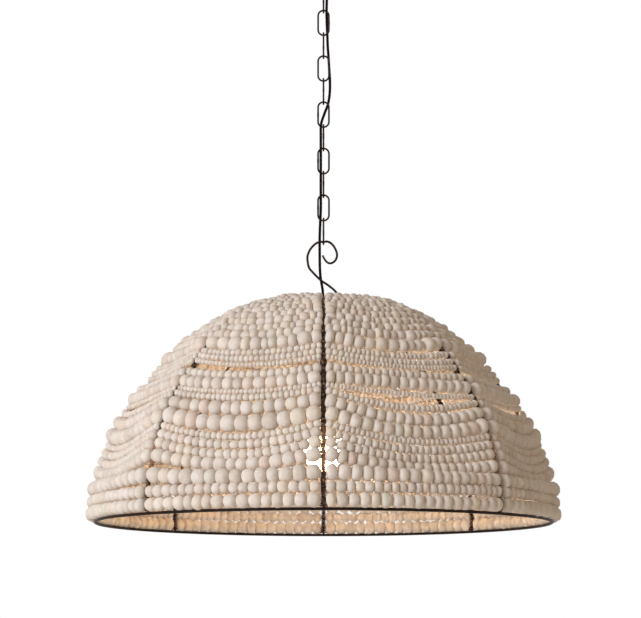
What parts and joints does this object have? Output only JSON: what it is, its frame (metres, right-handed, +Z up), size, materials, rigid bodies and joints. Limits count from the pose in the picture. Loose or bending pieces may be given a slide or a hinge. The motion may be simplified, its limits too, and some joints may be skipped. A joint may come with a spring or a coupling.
{
  "type": "beaded chandelier",
  "caption": "Dome pendant light with strands of pale clay beads on a wire frame, hung on a link chain with its cord woven through.",
  "frame": {"origin": "centre of the ceiling strap's top face, where the lamp meets the ceiling", "axes": "+Z up along the chain and the shade's axis, +Y away from the picture's camera, +X to its right"},
  "size_m": [0.6816, 0.6816, 0.8589],
  "materials": {
    "iron": "satin, dark bronze brown, rubbed",
    "canopy_metal": "satin, dark bronze brown",
    "cord": "matt woven cloth",
    "beads": "matt unglazed clay",
    "porcelain": "gloss",
    "brass": "satin",
    "bulb_glass": "frosted, lit",
    "black_plastic": "satin"
  },
  "bodies": {
    "fixture": {"ceiling_strap": "canopy_metal", "strap_screw_left": "canopy_metal", "strap_screw_right": "canopy_metal", "canopy": "canopy_metal", "canopy_stud": "canopy_metal", "canopy_lock_nut": "canopy_metal", "canopy_loop": "canopy_metal", "cord_strain_relief": "black_plastic", "cord_stretch_01": "cord"},
    "link_01": {"chain_link_01": "iron", "cord_stretch_02": "cord"},
    "link_02": {"chain_link_02": "iron", "cord_stretch_03": "cord"},
    "link_03": {"chain_link_03": "iron", "cord_stretch_04": "cord"},
    "link_04": {"chain_link_04": "iron", "cord_stretch_05": "cord"},
    "link_05": {"chain_link_05": "iron", "cord_stretch_06": "cord"},
    "link_06": {"chain_link_06": "iron", "cord_stretch_07": "cord"},
    "link_07": {"chain_link_07": "iron", "cord_stretch_08": "cord"},
    "link_08": {"chain_link_08": "iron", "cord_stretch_09": "cord"},
    "link_09": {"chain_link_09": "iron", "cord_stretch_10": "cord"},
    "link_10": {"chain_link_10": "iron", "cord_stretch_11": "cord"},
    "link_11": {"chain_link_11": "iron", "cord_stretch_12": "cord"},
    "shade": {"pigtail_hook": "iron", "crown_ring": "iron", "rim_ring": "iron", "rib_1": "iron", "rib_2": "iron", "rib_3": "iron", "rib_4": "iron", "rib_5": "iron", "rib_6": "iron", "rib_7": "iron", "rib_8": "iron", "bead_strand_1": "beads", "bead_strand_2": "beads", "bead_strand_3": "beads", "bead_strand_4": "beads", "bead_strand_5": "beads", "bead_strand_6": "beads", "bead_strand_7": "beads", "bead_strand_8": "beads", "bead_strand_9": "beads", "crown_strap": "iron", "stem_pipe": "iron", "stem_nut": "iron", "holder_cap": "black_plastic", "holder_body": "porcelain", "holder_thread": "brass"},
    "bulb": {"bulb_base": "brass", "bulb_glass": "bulb_glass"}
  },
  "joints": [
    {"name": "link_01_swing", "type": "hinge", "parent": "fixture", "child": "link_01", "pos_m": [0, 0, -0.0563], "axis": [1, 0, 0], "range_deg": [-8, 8], "deforming": ["cord_stretch_01"]},
    {"name": "link_02_swing", "type": "hinge", "parent": "link_01", "child": "link_02", "pos_m": [0, 0, -0.0911], "axis": [0, 1, 0], "range_deg": [-8, 8], "deforming": ["cord_stretch_02"]},
    {"name": "link_03_swing", "type": "hinge", "parent": "link_02", "child": "link_03", "pos_m": [0, 0, -0.1267], "axis": [1, 0, 0], "range_deg": [-8, 8], "deforming": ["cord_stretch_03"]},
    {"name": "link_04_swing", "type": "hinge", "parent": "link_03", "child": "link_04", "pos_m": [0, 0, -0.1623], "axis": [0, 1, 0], "range_deg": [-8, 8], "deforming": ["cord_stretch_04"]},
    {"name": "link_05_swing", "type": "hinge", "parent": "link_04", "child": "link_05", "pos_m": [0, 0, -0.1979], "axis": [1, 0, 0], "range_deg": [-8, 8], "deforming": ["cord_stretch_05"]},
    {"name": "link_06_swing", "type": "hinge", "parent": "link_05", "child": "link_06", "pos_m": [0, 0, -0.2335], "axis": [0, 1, 0], "range_deg": [-8, 8], "deforming": ["cord_stretch_06"]},
    {"name": "link_07_swing", "type": "hinge", "parent": "link_06", "child": "link_07", "pos_m": [0, 0, -0.2691], "axis": [1, 0, 0], "range_deg": [-8, 8], "deforming": ["cord_stretch_07"]},
    {"name": "link_08_swing", "type": "hinge", "parent": "link_07", "child": "link_08", "pos_m": [0, 0, -0.3047], "axis": [0, 1, 0], "range_deg": [-8, 8], "deforming": ["cord_stretch_08"]},
    {"name": "link_09_swing", "type": "hinge", "parent": "link_08", "child": "link_09", "pos_m": [0, 0, -0.3403], "axis": [1, 0, 0], "range_deg": [-8, 8], "deforming": ["cord_stretch_09"]},
    {"name": "link_10_swing", "type": "hinge", "parent": "link_09", "child": "link_10", "pos_m": [0, 0, -0.3759], "axis": [0, 1, 0], "range_deg": [-8, 8], "deforming": ["cord_stretch_10"]},
    {"name": "link_11_swing", "type": "hinge", "parent": "link_10", "child": "link_11", "pos_m": [0, 0, -0.4115], "axis": [1, 0, 0], "range_deg": [-8, 8], "deforming": ["cord_stretch_11"]},
    {"name": "shade_swing", "type": "hinge", "parent": "link_11", "child": "shade", "pos_m": [0, 0, -0.4471], "axis": [0, 1, 0], "range_deg": [-8, 8], "deforming": ["cord_stretch_12"]},
    {"name": "bulb_turn", "type": "hinge", "parent": "shade", "child": "bulb", "pos_m": [0, 0, -0.68688], "axis": [0, 0, -1], "range_deg": [0, 1800]}
  ]
}
